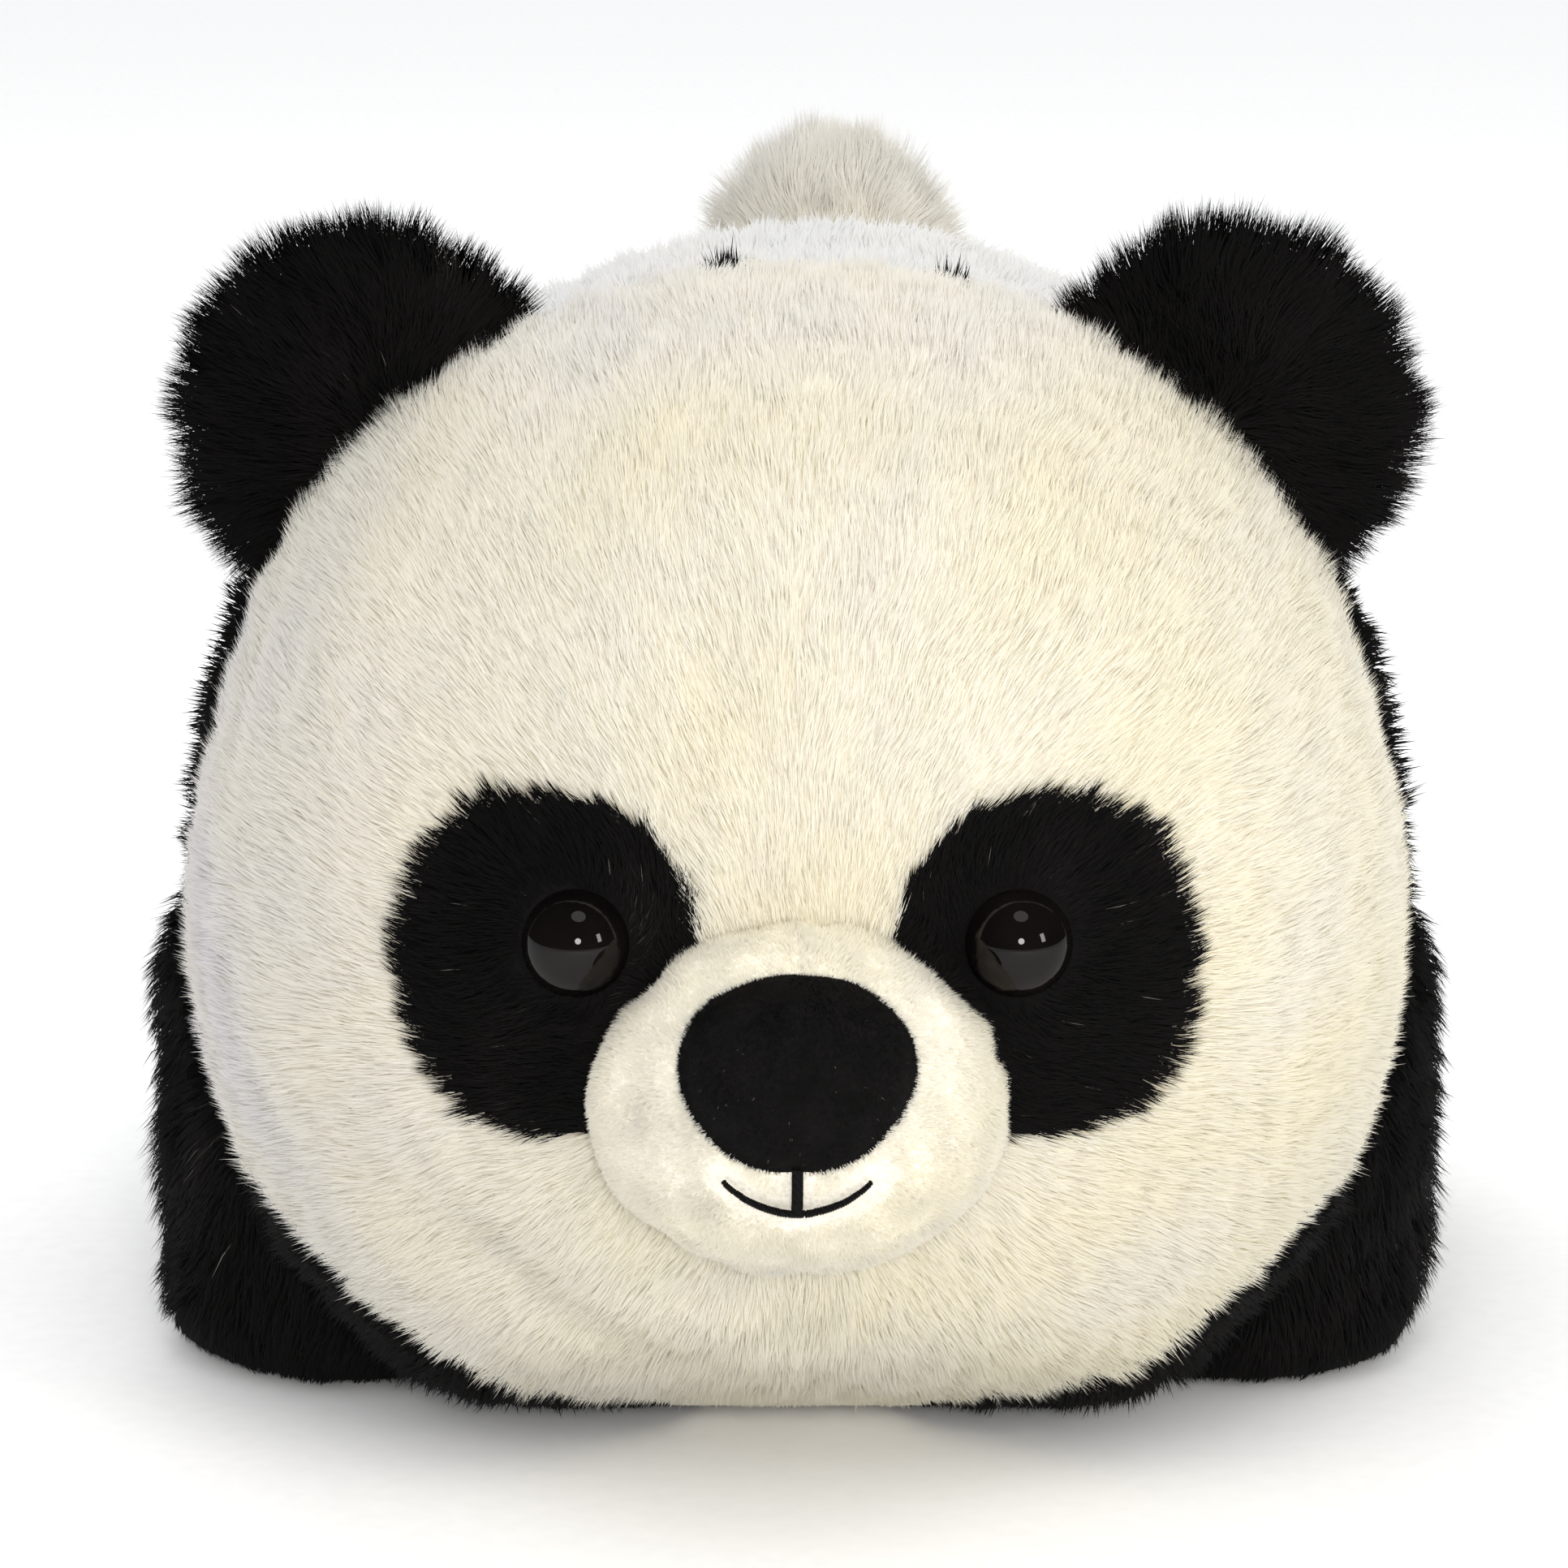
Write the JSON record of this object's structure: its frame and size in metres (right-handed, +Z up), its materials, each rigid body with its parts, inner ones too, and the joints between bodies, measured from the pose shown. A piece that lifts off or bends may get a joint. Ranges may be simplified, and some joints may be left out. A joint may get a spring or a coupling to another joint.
{
  "type": "plush panda",
  "caption": "Soft toy panda lying on its belly: domed face, round ears that bend, short-pile muzzle, glossy eyes, stubby legs that lift and a round tail.",
  "frame": {"origin": "centre of the footprint of the overall bounding box, on the surface that the belly rests on", "axes": "the face points towards -Y, +Z is up, and +X is the panda's own left"},
  "size_m": [0.1878, 0.245, 0.1636],
  "materials": {
    "cream_plush": "long-pile cream plush, soft sheen",
    "white_plush": "long-pile white plush, soft sheen",
    "black_plush": "long-pile black plush",
    "short_cream_plush": "short-pile cream plush",
    "black_felt": "very short black pile",
    "black_thread": "twisted black sewing thread",
    "cream_thread": "twisted cream sewing thread",
    "eye_plastic": "moulded gloss black plastic",
    "washer_plastic": "moulded white plastic",
    "filling": "loose polyester fibre"
  },
  "bodies": {
    "body": {"face_panel": "cream_plush", "shoulder_band": "black_plush", "back_panel": "white_plush", "rump_panel": "white_plush", "belly_panel": "white_plush", "body_stuffing": "filling", "muzzle_cover": "short_cream_plush", "muzzle_stuffing": "filling", "nose_cover": "black_felt", "nose_stuffing": "filling", "mouth_stitching": "black_thread", "tail_thread": "cream_thread", "eye_patch_left": "black_plush", "eye_left": "eye_plastic", "eye_washer_left": "washer_plastic", "eye_patch_right": "black_plush", "eye_right": "eye_plastic", "eye_washer_right": "washer_plastic", "ear_thread_left": "black_thread", "ear_thread_right": "black_thread", "front_leg_thread_left": "black_thread", "hind_leg_thread_left": "black_thread", "front_leg_thread_right": "black_thread", "hind_leg_thread_right": "black_thread"},
    "ear_left_body": {"ear_front_left": "black_plush", "ear_back_left": "black_plush", "ear_batting_left": "filling"},
    "ear_right_body": {"ear_front_right": "black_plush", "ear_back_right": "black_plush", "ear_batting_right": "filling"},
    "tail_body": {"tail_upper": "cream_plush", "tail_lower": "cream_plush", "tail_stuffing": "filling"},
    "front_leg_left_body": {"front_leg_cover_left": "black_plush", "front_leg_sole_left": "black_plush", "front_leg_stuffing_left": "filling"},
    "hind_leg_left_body": {"hind_leg_cover_left": "black_plush", "hind_leg_sole_left": "black_plush", "hind_leg_stuffing_left": "filling"},
    "front_leg_right_body": {"front_leg_cover_right": "black_plush", "front_leg_sole_right": "black_plush", "front_leg_stuffing_right": "filling"},
    "hind_leg_right_body": {"hind_leg_cover_right": "black_plush", "hind_leg_sole_right": "black_plush", "hind_leg_stuffing_right": "filling"}
  },
  "joints": [
    {"name": "ear_left_bend", "type": "hinge", "parent": "body", "child": "ear_left_body", "pos_m": [0.05859, -0.02622, 0.1354], "axis": [0.7547, 0, -0.6561], "range_deg": [-35, 35], "stiffness_Nm_per_rad": 0.03},
    {"name": "ear_right_bend", "type": "hinge", "parent": "body", "child": "ear_right_body", "pos_m": [-0.05859, -0.02622, 0.1354], "axis": [0.7547, 0, 0.6561], "range_deg": [-35, 35], "stiffness_Nm_per_rad": 0.03},
    {"name": "tail_bend", "type": "hinge", "parent": "body", "child": "tail_body", "pos_m": [0, 0.09453, 0.13459], "axis": [1, 0, 0], "range_deg": [-25, 25], "stiffness_Nm_per_rad": 0.03},
    {"name": "front_leg_left_lift", "type": "hinge", "parent": "body", "child": "front_leg_left_body", "pos_m": [0.0891, -0.01022, 0.062], "axis": [0, -1, 0], "range_deg": [0, 20], "stiffness_Nm_per_rad": 0.06},
    {"name": "hind_leg_left_lift", "type": "hinge", "parent": "body", "child": "hind_leg_left_body", "pos_m": [0.08767, 0.05078, 0.062], "axis": [0.1513, -0.9885, 0], "range_deg": [0, 20], "stiffness_Nm_per_rad": 0.06},
    {"name": "front_leg_right_lift", "type": "hinge", "parent": "body", "child": "front_leg_right_body", "pos_m": [-0.0891, -0.01022, 0.062], "axis": [0, 1, 0], "range_deg": [0, 20], "stiffness_Nm_per_rad": 0.06},
    {"name": "hind_leg_right_lift", "type": "hinge", "parent": "body", "child": "hind_leg_right_body", "pos_m": [-0.08767, 0.05078, 0.062], "axis": [0.1513, 0.9885, 0], "range_deg": [0, 20], "stiffness_Nm_per_rad": 0.06}
  ]
}
